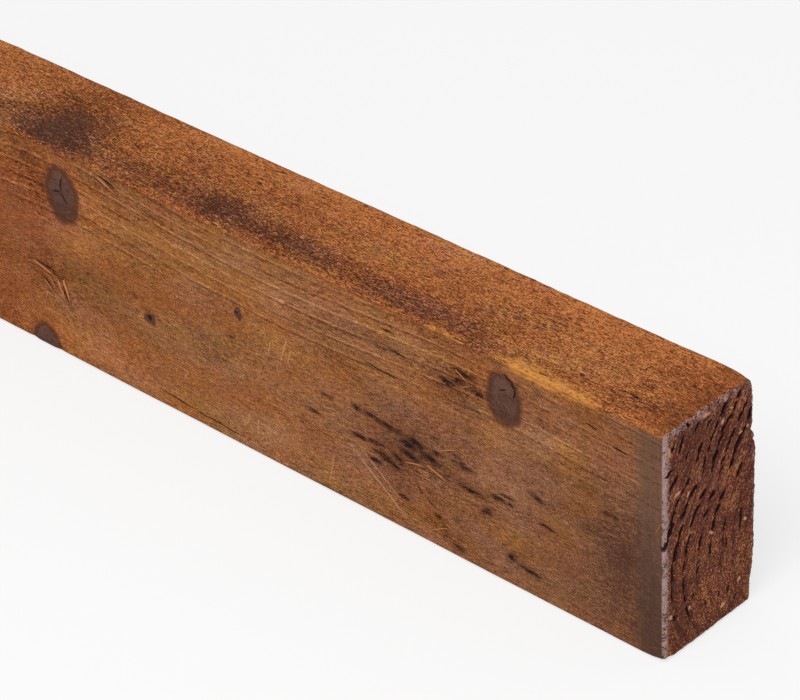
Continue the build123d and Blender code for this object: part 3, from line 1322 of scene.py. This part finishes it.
def oval_field(sheet, place, marks, on_top=False):
    """1 in the middle of a slim oval of the front or the top, 0 on its edge and below 0 outside."""
    field = None
    for start, stop, half_width in marks:
        ends = sorted((start, stop))
        a, b = top_points(ends) if on_top else front_points(ends)
        turn = (0.0, -math.atan2(b[2] - a[2], b[0] - a[0]), math.atan2(b[1] - a[1], b[0] - a[0]))
        widths = (half_width, OVAL_DEPTH) if on_top else (OVAL_DEPTH, half_width)
        sizes = (math.dist(a, b) / 2, *widths)
        sockets = {"Vector": place, "Location": tuple((a + b) / 2), "Rotation": turn, "Scale": sizes}
        local = sheet.node("ShaderNodeMapping", {"vector_type": "TEXTURE"}, sockets)
        mark = 1.0 - sheet.node("ShaderNodeVectorMath", {"operation": "LENGTH"}, {0: local}, "Value")
        field = mark if field is None else field.greatest(mark)
    return field


class Wood(SimpleNamespace):
    """What every part of the finish reads: places, masks, the mesh's own values and shared noises."""

    def blend(self, **weights):
        """Sum of the values of those names, each times its weight."""
        parts = [getattr(self, name) * weight for name, weight in weights.items()]
        return sum(parts[1:], parts[0])


def wood_fields(sheet):
    """The shared values, masks and noises, made once for the material."""
    place = timber_place(sheet)
    s, y, z = sheet.parts(place)
    wood = Wood(place=place, s=s, y=y, z=z)
    carried = "knot rise ring fleck torn tone warmth golden furrow splash"
    for name in carried.split():
        setattr(wood, name, sheet.attribute(name))
    wood.grain = sheet.attribute("grain", "Vector")
    wood.from_end = s.least(LENGTH - s)
    wood.edge = (DEPTH - z).smooth(*TOP_FINISH).greatest(z.smooth(*UNDERSIDE_FINISH))
    wood.face = 1.0 - wood.edge
    wood.crosscut = wood.from_end.smooth(*CROSSCUT_FINISH)
    along = slanted(sheet, place, wood.edge, *FIBRE_LEANS)
    across = slanted(sheet, place, wood.edge, *CROSS_LEANS)
    wood.strands = sheet.noise(wood.grain, (38.0, 1.5, 1.5), 3.0)
    wood.fibres = sheet.noise(wood.grain, (3.4, 0.40, 0.32), 1.0, shift=3.0)
    wood.specks = sheet.noise(place, (0.45, 0.75, 0.42), 1.0, shift=13.0)
    wood.mottles = sheet.noise(place, (8.0, 4.5, 4.5), 3.0, 0.6, shift=15.0)
    wood.nap = sheet.noise(along, (2.4, 0.55, 0.44), 1.0, shift=17.0)
    wood.cross = sheet.noise(across, (1.8, 0.55, 0.45), 1.0, shift=19.0)
    wood.pits = sheet.noise(along, (5.0, 0.65, 0.50), 1.0, shift=21.0)
    strays = {"X": wood.mottles, "Y": wood.specks, "Z": wood.mottles}
    wood.wandered = place + sheet.node("ShaderNodeCombineXYZ", {}, strays) * OVAL_STRAYS
    return wood


def grain_lines(sheet, wood, streaky):
    """Lines of the growth rings, two to a ring: a pale ridge with a dark seam beside it, both broken."""
    breaks = sheet.noise(wood.grain, (60.0, 3.0, 3.0), 2.0, shift=5.0)
    offset = ring_offset(sheet, wood.ring * 2.0 + wood.strands * 0.14 + wood.mottles * 0.10)
    ridge = abs(offset).smooth(0.13, 0.03) * (breaks * 3.0 + 0.70).smooth(0.0, 1.0)
    seam = abs(offset + 0.20).smooth(0.12, 0.03) * (0.70 - breaks * 3.0).smooth(0.0, 1.0)
    return (ridge * 1.2 - seam * 0.9) * streaky * wood.s.smooth(30.0, 130.0, 0.65, 1.0)


def long_faces(sheet, wood, finish):
    """Colour and fine height of the sawn faces and edges: a tone picks the colour, and casts tint it.

    On the edges the bright hairs are painted highlight, and the dark pits are painted shade.
    """
    grain_z = sheet.parts(wood.grain)[2]
    streaky = abs(grain_z - PITH_Z).smooth(*STREAKY_HEIGHTS) * wood.face
    blotches = sheet.noise(wood.place, (46.0, 17.0, 17.0), 4.0, 0.6, shift=7.0)
    on_faces = wood.blend(fibres=1.2, nap=0.4, cross=0.6, specks=1.6)
    on_faces = on_faces * wood.s.smooth(40.0, 150.0, 0.8, 1.0)
    on_faces = on_faces + wood.strands * (streaky * 0.3 + 0.10)
    # Bright hairs on the top and underside: painted highlights of raised fibres catching the light
    hair_highlights = wood.blend(nap=1.0, specks=0.3).smooth(0.09, 0.17)
    on_edges = wood.blend(nap=1.4, cross=0.9, fibres=0.9, specks=2.6) + hair_highlights * 0.28
    on_edges = on_edges * wood.from_end.smooth(3.0, 26.0, 0.6, 1.0) + EDGE_TONE
    fine = on_faces * wood.face + on_edges * wood.edge
    lines = grain_lines(sheet, wood, streaky)
    torn = wood.torn * (wood.fibres * 1.2 - 0.03)
    value = FACE_TONE + blotches * 0.55 + wood.mottles * 0.22 + wood.tone + fine + lines * 0.24 + torn
    stops = [
        (0.0, finish.umber),
        (0.20, finish.chestnut),
        (0.40, finish.russet),
        (0.60, finish.amber),
        (0.80, finish.straw),
        # The cream stop is partly painted highlight, for the bright hairs
        (1.0, finish.cream_and_highlight),
    ]
    colour = sheet.ramp(value * TONE_CONTRAST, stops)
    casts = sheet.noise(wood.place, (42.0, 18.0, 18.0), 5.0, 0.65, shift=11.0)
    golds = sheet.noise(wood.place, (30.0, 14.0, 14.0), 5.0, 0.65, shift=12.0)
    halo = wood.knot.smooth(-0.9, -0.2) * wood.face
    rusty = wood.warmth + wood.edge * (0.55 - wood.mottles * 0.6)
    rusty = rusty + halo * 0.12 + casts * 2.2 + 0.36
    honeyed = wood.warmth.least(0.05) * 2.4 + wood.edge * (wood.mottles * 1.6 + 0.30)
    honeyed = honeyed + casts * 1.6 + golds * 2.4 + 0.70
    colour = sheet.mix(rusty, colour, finish.rust, "MULTIPLY")
    colour = sheet.mix(honeyed, colour, finish.honey, "MULTIPLY")
    worn = wood.golden * (1.0 + wood.blend(fibres=1.6, cross=1.6, mottles=2.2))
    worn = worn.smooth(0.10, 0.66)
    bright = sheet.mix(wood.blend(nap=2.4, cross=1.6) + 0.80, finish.amber, finish.gold)
    colour = sheet.mix(worn * 0.92, colour, bright)
    # Dark pits on the top and underside: umber painted as shade in small hollows of the nap, which the
    # bump also dents
    pits = (wood.pits + wood.mottles * 0.3 + blotches * 0.5).smooth(-0.16, -0.21) * wood.edge
    colour = sheet.mix(pits * 0.85, colour, finish.umber)
    scorch = sheet.noise(wood.place, (0.9, 0.9, 16.0), 2.0, shift=9.0)
    band = (wood.from_end + blotches * 6.0 + wood.mottles * 4.0).smooth(*GREYED_BAND) * wood.face
    shade = wood.z.smooth(10.0, 85.0) + fine * 1.3 + lines * 0.5 + scorch * 1.2 - 0.08
    greyed = sheet.mix(shade, finish.smoke, finish.ash)
    colour = sheet.mix(band * 0.86, colour, greyed)
    height = on_faces * wood.face * 0.22 + on_edges * wood.edge * 0.34 + wood.torn * wood.fibres * 1.4
    return colour, height + lines * 0.14 - pits * 0.30


def knots_over(sheet, wood, finish, colour):
    """Lays the knots over a colour: a soft dark rim and a mottled core, both weaker on the edges."""
    wander = sheet.noise(wood.place, (9.0, 7.0, 7.0), 3.0, 0.6, shift=23.0)
    ragged = wood.knot + wander * 0.60 + wood.fibres * 0.25
    rim = (ragged - wood.rise * 0.10).smooth(-0.30, 0.02) * (1.0 - wood.edge * 0.6)
    core = ragged.smooth(0.10, 0.30) * (1.0 - wood.edge * 0.8)
    colour = sheet.mix(rim * 0.86, colour, finish.bark)
    growth = sheet.node("ShaderNodeMath", {"operation": "SINE"}, {0: ragged * 30.0})
    mottle = wood.blend(specks=2.6, cross=2.6, mottles=1.6, rise=0.30) + growth * 0.10 + 0.50
    heart = sheet.mix(mottle, finish.bark, finish.knot)
    return sheet.mix(core * 0.92, colour, heart), core


def crosscut_ends(sheet, wood, finish):
    """Colour, fine height and dark furrows of the crosscut ends: streaks along the rings and grit.

    The dark of the furrows and pits is painted shade in those hollows, and partly dark end grain.
    """
    run = sheet.node("ShaderNodeCombineXYZ", {}, {"X": wood.ring * RING_SPACING, "Y": wood.z})
    streaks = sheet.noise(run, (1.3, 7.0, 1.0), 2.0, 0.6, shift=37.0)
    gashes = sheet.noise(run, (1.1, 2.6, 1.0), 1.0, shift=43.0)
    grit = sheet.noise(wood.place, (1.0, 0.8, 0.8), 2.0, 0.7, shift=29.0)
    clouds = sheet.noise(wood.place, (30.0, 12.0, 12.0), 3.0, shift=31.0)
    furrows = (wood.furrow + gashes * 0.6 + grit * 0.4).smooth(0.0, 0.22)
    pits = (gashes + grit * 0.4).smooth(0.20, 0.30) * wood.z.smooth(10.0, 60.0)
    # The dark of the furrows and pits is painted shade in those hollows, and partly dark end grain
    dark = furrows.greatest(pits * 0.8)
    stops = [
        (0.0, finish.umber),
        (0.45, finish.crosscut),
        (0.80, finish.ember),
        (1.0, finish.straw),
    ]
    sparkle = sheet.noise(run, (0.34, 0.70, 1.0), 1.0, shift=47.0)
    offset = abs(ring_offset(sheet, wood.ring + streaks * 0.4 - 0.06))
    seam = offset.smooth(0.28, 0.04) * 0.15 + offset.smooth(0.10, 0.02) * 0.15
    value = END_TONE + wood.tone + streaks * 0.7 + grit * 0.5 + clouds * 0.9 + sparkle * 3.2 - seam
    colour = sheet.ramp(value, stops)
    tint = clouds * 2.4 + streaks * 2.5 + wood.z.smooth(60.0, 20.0) * 0.30 - 0.06
    colour = sheet.mix(tint, colour, finish.honey, "MULTIPLY")
    colour = sheet.mix(grit * 2.0 - streaks * 3.0 + 0.36, colour, finish.rust, "MULTIPLY")
    splashes = (wood.splash + grit * 1.2).smooth(0.0, 0.4)
    pale = (grit * 0.6 + sparkle - gashes * 0.2).smooth(0.215, 0.275).greatest(splashes)
    fibre = sheet.mix(gashes * 3.0 + 0.3, finish.cream_and_highlight, finish.lilac)
    colour = sheet.mix(pale * 0.85, colour, fibre)
    return colour, grit * 0.5 + streaks * 0.5 - dark, dark


def bruised_arrises(sheet, wood, finish, colour):
    """Pale crushed fibres along the arrises of the crosscut ends, more at the front and the top."""
    near_end = wood.from_end.smooth(1.5, 0.8)
    ragged = wood.mottles * 6.0
    front = (wood.y - FRONT + ragged).smooth(4.2, 1.0)
    top = (DEPTH - wood.z + ragged).smooth(6.3, 0.6)
    top = top * wood.y.smooth(12.0, -12.0, 0.56, 0.72)
    rest = (BACK - wood.y).least(wood.z).smooth(3.0, 0.8)
    rest = rest * wood.z.smooth(78.0, 90.0, 0.5, 0.8)
    crushed = front.greatest(top).greatest(rest)
    flakes = wood.blend(specks=2.6, cross=2.0, mottles=3.4)
    cover = (crushed * 1.3 + flakes - 0.70).smooth(0.0, 0.60) * crushed.smooth(0.0, 0.4)
    return sheet.mix(near_end * cover * 0.9, colour, finish.lilac)


def treated_softwood(finish):
    """The treated wood: the long faces with their knots, the crosscut ends, then cracks and flecks.

    The dark of the end furrows is painted shade, and some front cracks are painted shadows beside the
    splinters.
    """
    material, sheet = blank_material("sawn_face")
    wood = wood_fields(sheet)
    colour, height = long_faces(sheet, wood, finish)
    scratches = oval_field(sheet, wood.wandered, FRONT_SCRATCHES) + wood.fibres
    scratches = scratches.smooth(0.0, 0.5)
    colour = sheet.mix(scratches * 0.70, colour, finish.straw)
    colour, core = knots_over(sheet, wood, finish, colour)
    end_colour, end_height, dark = crosscut_ends(sheet, wood, finish)
    colour = sheet.mix(wood.crosscut, colour, end_colour)
    colour = bruised_arrises(sheet, wood, finish, colour)
    # The pitch laid here is painted shade in the furrows and pits of the ends
    dark = dark * wood.from_end.smooth(1.9, 1.2) * wood.z.smooth(20.0, 60.0, 0.70, 0.94)
    colour = sheet.mix(dark, colour, finish.pitch)
    # Some front cracks are painted shadows beside the splinters; soot lays them along with the flecks
    front_cracks_and_shadows = oval_field(sheet, wood.wandered, FRONT_CRACKS_AND_SHADOWS)
    top_cracks = oval_field(sheet, wood.wandered, TOP_CRACKS, on_top=True)
    cracks_and_shadows = front_cracks_and_shadows.greatest(top_cracks).smooth(0.0, 0.5)
    flecks = wood.blend(fleck=1.0, fibres=4.2, specks=2.8, mottles=1.6).smooth(0.06, 0.42)
    colour = sheet.mix((flecks * 0.98).greatest(cracks_and_shadows * 0.92), colour, finish.soot_and_shadow)
    height = height * (1.0 - wood.crosscut) + end_height * wood.crosscut
    height = height - cracks_and_shadows * 0.8 - flecks * 0.25
    relief = {"Strength": BUMP_STRENGTH, "Distance": MM, "Height": height}
    sockets = {
        "Base Color": colour,
        "Roughness": 0.90 - core * 0.12 + wood.fibres * 0.15,
        "Normal": sheet.node("ShaderNodeBump", {}, relief, "Normal"),
        "Specular IOR Level": SPECULAR,
    }
    shader = sheet.node("ShaderNodeBsdfPrincipled", {}, sockets)
    sheet.node("ShaderNodeOutputMaterial", {}, {"Surface": shader})
    return material


def raised_fibre(finish):
    """Loose wood fibre: each spike has its own shade between chestnut and straw."""
    material, sheet = blank_material("raised_fibre")
    place = timber_place(sheet)
    patchy = sheet.noise(place, (30.0, 12.0, 12.0), 2.0)
    shade = sheet.attribute("bright") * 0.9 + patchy * 0.5
    stops = [
        (0.0, finish.chestnut),
        (0.5, finish.russet),
        (0.85, finish.amber),
        (1.0, finish.straw),
    ]
    colour = sheet.mix(0.6, sheet.ramp(shade, stops), finish.rust, "MULTIPLY")
    colour = sheet.mix(0.6, colour, finish.honey, "MULTIPLY")
    sockets = {"Base Color": colour, "Roughness": 0.8, "Specular IOR Level": SPECULAR}
    shader = sheet.node("ShaderNodeBsdfPrincipled", {}, sockets)
    sheet.node("ShaderNodeOutputMaterial", {}, {"Surface": shader})
    return material


def finished(piece, material):
    """Gives a piece its material and the body that it rides on."""
    piece.data.materials.append(material)
    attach(piece, BODY)


def material_of(name, maker, finish):
    """The material of that name, made the first time that it is asked for."""
    return bpy.data.materials.get(name) or maker(finish)


class OBJECT_OT_sawn_timber(bpy.types.Operator):
    """Make the sawn length of timber with its knots, arrises and crosscut ends"""

    bl_idname = "object.sawn_timber_add"
    bl_label = "Sawn Timber"

    def execute(self, context):
        points, quads, triangles, fields = timber_surface(context.scene.timber_shape)
        piece = mesh_object("timber_length", points, quads, triangles, fields)
        finish = context.scene.timber_finish
        finished(piece, material_of("sawn_face", treated_softwood, finish))
        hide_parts(NODE)
        return {"FINISHED"}


class OBJECT_OT_timber_nap(bpy.types.Operator):
    """Raise the nap of short fibres that the saw leaves on the edge and the faces"""

    bl_idname = "object.timber_nap_add"
    bl_label = "Raised Nap"

    def execute(self, context):
        shape = context.scene.timber_shape
        fibre = material_of("raised_fibre", raised_fibre, context.scene.timber_finish)
        source = np.random.default_rng(shape.seed + 100)
        first = NAP_END_MARGIN
        last = LENGTH - NAP_END_MARGIN
        low = (first, FRONT + EDGE_MARGINS[0], DEPTH)
        high = (last, BACK - EDGE_MARGINS[1], DEPTH)
        edge = nap_on_face(source, low, high, (0, 0, 1), **EDGE_NAP)
        finished(fibre_object("edge_nap", [edge], source), fibre)
        faces = []
        for side, normal in ((FRONT, (0, -1, 0)), (BACK, (0, 1, 0))):
            low = (first, side, FACE_MARGINS[0])
            high = (last, side, DEPTH - FACE_MARGINS[1])
            faces.append(nap_on_face(source, low, high, normal, **FACE_NAP))
        finished(fibre_object("face_nap", faces, source), fibre)
        return {"FINISHED"}


class OBJECT_OT_timber_splinters(bpy.types.Operator):
    """Lift the larger torn fibres and splinters of the front face"""

    bl_idname = "object.timber_splinters_add"
    bl_label = "Splinters"

    def execute(self, context):
        source = np.random.default_rng(context.scene.timber_shape.seed + 200)
        fibre = material_of("raised_fibre", raised_fibre, context.scene.timber_finish)
        starts, stops, widths, arches = (np.array(column) for column in zip(*SPLINTERS))
        roots = front_points(starts)
        run = front_points(stops) - roots
        lengths = np.linalg.norm(run, axis=1)
        rising = np.tile((0.0, -1.0, 0.0), (len(roots), 1))
        parts = spikes(roots, run / lengths[:, None], rising, lengths, widths, arches / lengths)
        finished(fibre_object("splinters", [parts], source, *SPLINTER_BRIGHTNESS), fibre)
        return {"FINISHED"}


class SCENE_OT_timber_stage(bpy.types.Operator):
    """Set the pale floor, the soft light and the camera"""

    bl_idname = "scene.timber_stage_add"
    bl_label = "Stage"

    def execute(self, context):
        stage = context.scene.timber_stage
        add_floor(stage)
        add_light(stage)
        add_camera()
        context.scene.view_settings.view_transform = "Standard"
        return {"FINISHED"}


def seen_directly(sheet):
    """1 for rays from the camera and for those mirrored or let through to it, 0 for other light."""
    path = sheet.node("ShaderNodeLightPath", {}, {}, "Is Camera Ray")
    outputs = path.socket.node.outputs
    mirrored = Field(sheet, outputs["Is Glossy Ray"])
    through = Field(sheet, outputs["Is Transmission Ray"])
    return path.greatest(mirrored).greatest(through)


def add_floor(stage):
    """A wide pale floor just under the timber: it looks white and keeps the shadow."""
    signs = ((-1, -1), (1, -1), (1, 1), (-1, 1))
    corners = [(FLOOR_HALF * x, FLOOR_HALF * y, FLOOR_HEIGHT) for x, y in signs]
    mesh = bpy.data.meshes.new("floor")
    mesh.from_pydata(corners, [], [(0, 1, 2, 3)])
    floor = bpy.data.objects.new("floor", mesh)
    bpy.context.scene.collection.objects.link(floor)
    material, sheet = blank_material("floor")
    matt = sheet.node("ShaderNodeBsdfDiffuse", {}, {"Color": stage.floor_colour})
    white = sheet.node("ShaderNodeEmission", {}, {"Color": WHITE, "Strength": 1.0})
    share = seen_directly(sheet) * FLOOR_WHITENESS
    lifted = sheet.node("ShaderNodeMixShader", {}, {0: share, 1: matt, 2: white})
    sheet.node("ShaderNodeOutputMaterial", {}, {"Surface": lifted})
    floor.data.materials.append(material)


def add_light(stage):
    """A large soft light above the front and an even sky that looks white."""
    lamp = bpy.data.lights.new("key_light", "AREA")
    lamp.shape = "DISK"
    lamp.size = KEY_SIZE
    lamp.energy = stage.key_power
    key = bpy.data.objects.new("key_light", lamp)
    key.location = KEY_TARGET + KEY_OFFSET
    key.rotation_euler = (-KEY_OFFSET).to_track_quat("-Z", "Y").to_euler()
    bpy.context.scene.collection.objects.link(key)
    world = bpy.data.worlds.new("sky")
    world.use_nodes = True
    bpy.context.scene.world = world
    sheet = Sheet(world.node_tree)
    strength = seen_directly(sheet) * (1.0 - stage.sky_strength) + stage.sky_strength
    sky = sheet.node("ShaderNodeBackground", {}, {"Color": WHITE, "Strength": strength})
    sheet.node("ShaderNodeOutputWorld", {}, {"Surface": sky})


def add_camera():
    """The camera, turned to its angles, and placed so that the near lower corner falls on its pixel."""
    a, e, r = (math.radians(angle) for angle in (AZIMUTH, ELEVATION, ROLL))
    back = Vector((math.sin(a) * math.cos(e), -math.cos(a) * math.cos(e), math.sin(e)))
    level = Vector((math.cos(a), math.sin(a), 0.0))
    above = back.cross(level)
    right = math.cos(r) * level + math.sin(r) * above
    up = math.cos(r) * above - math.sin(r) * level
    aside = (CORNER_PIXEL[0] - PICTURE_WIDTH / 2) / FOCAL_PIXELS
    below = (CORNER_PIXEL[1] - PICTURE_HEIGHT / 2) / FOCAL_PIXELS
    corner = Vector((HIGH[0] * MM, FRONT * MM, 0.0))
    data = bpy.data.cameras.new("camera")
    data.sensor_width = SENSOR_WIDTH
    data.lens = FOCAL_PIXELS * SENSOR_WIDTH / PICTURE_WIDTH
    camera = bpy.data.objects.new("camera", data)
    turn = Matrix((right, up, back)).transposed().to_4x4()
    place = corner - CORNER_DISTANCE * (aside * right - below * up - back)
    camera.matrix_world = Matrix.Translation(place) @ turn
    bpy.context.scene.collection.objects.link(camera)
    bpy.context.scene.camera = camera


class VIEW3D_PT_timber(bpy.types.Panel):
    """Sizes, colours and steps of the timber"""

    bl_idname = "VIEW3D_PT_timber"
    bl_label = "Treated Sawn Timber"
    bl_space_type = "VIEW_3D"
    bl_region_type = "UI"
    bl_category = "Timber"

    def draw(self, context):
        for step in STEPS:
            self.layout.operator(step.bl_idname)
        for name, group in GROUPS.items():
            column = self.layout.column(align=True)
            for prop in group.__annotations__:
                column.prop(getattr(context.scene, name), prop)


STEPS = (OBJECT_OT_sawn_timber, OBJECT_OT_timber_nap, OBJECT_OT_timber_splinters, SCENE_OT_timber_stage)
GROUPS = {"timber_shape": TimberShape, "timber_finish": TimberFinish, "timber_stage": StudioStage}


def register():
    """Makes the classes known and hangs the settings on the scene."""
    for known in (*GROUPS.values(), *STEPS, VIEW3D_PT_timber):
        bpy.utils.register_class(known)
    for name, group in GROUPS.items():
        setattr(bpy.types.Scene, name, PointerProperty(type=group))


def unregister():
    """Takes the settings off the scene and forgets the classes."""
    for name in GROUPS:
        delattr(bpy.types.Scene, name)
    for known in reversed((*GROUPS.values(), *STEPS, VIEW3D_PT_timber)):
        bpy.utils.unregister_class(known)


def main():
    """Makes the timber and its stage."""
    register()
    bpy.ops.object.sawn_timber_add()
    bpy.ops.object.timber_nap_add()
    bpy.ops.object.timber_splinters_add()
    bpy.ops.scene.timber_stage_add()


if __name__ == "__main__":
    main()
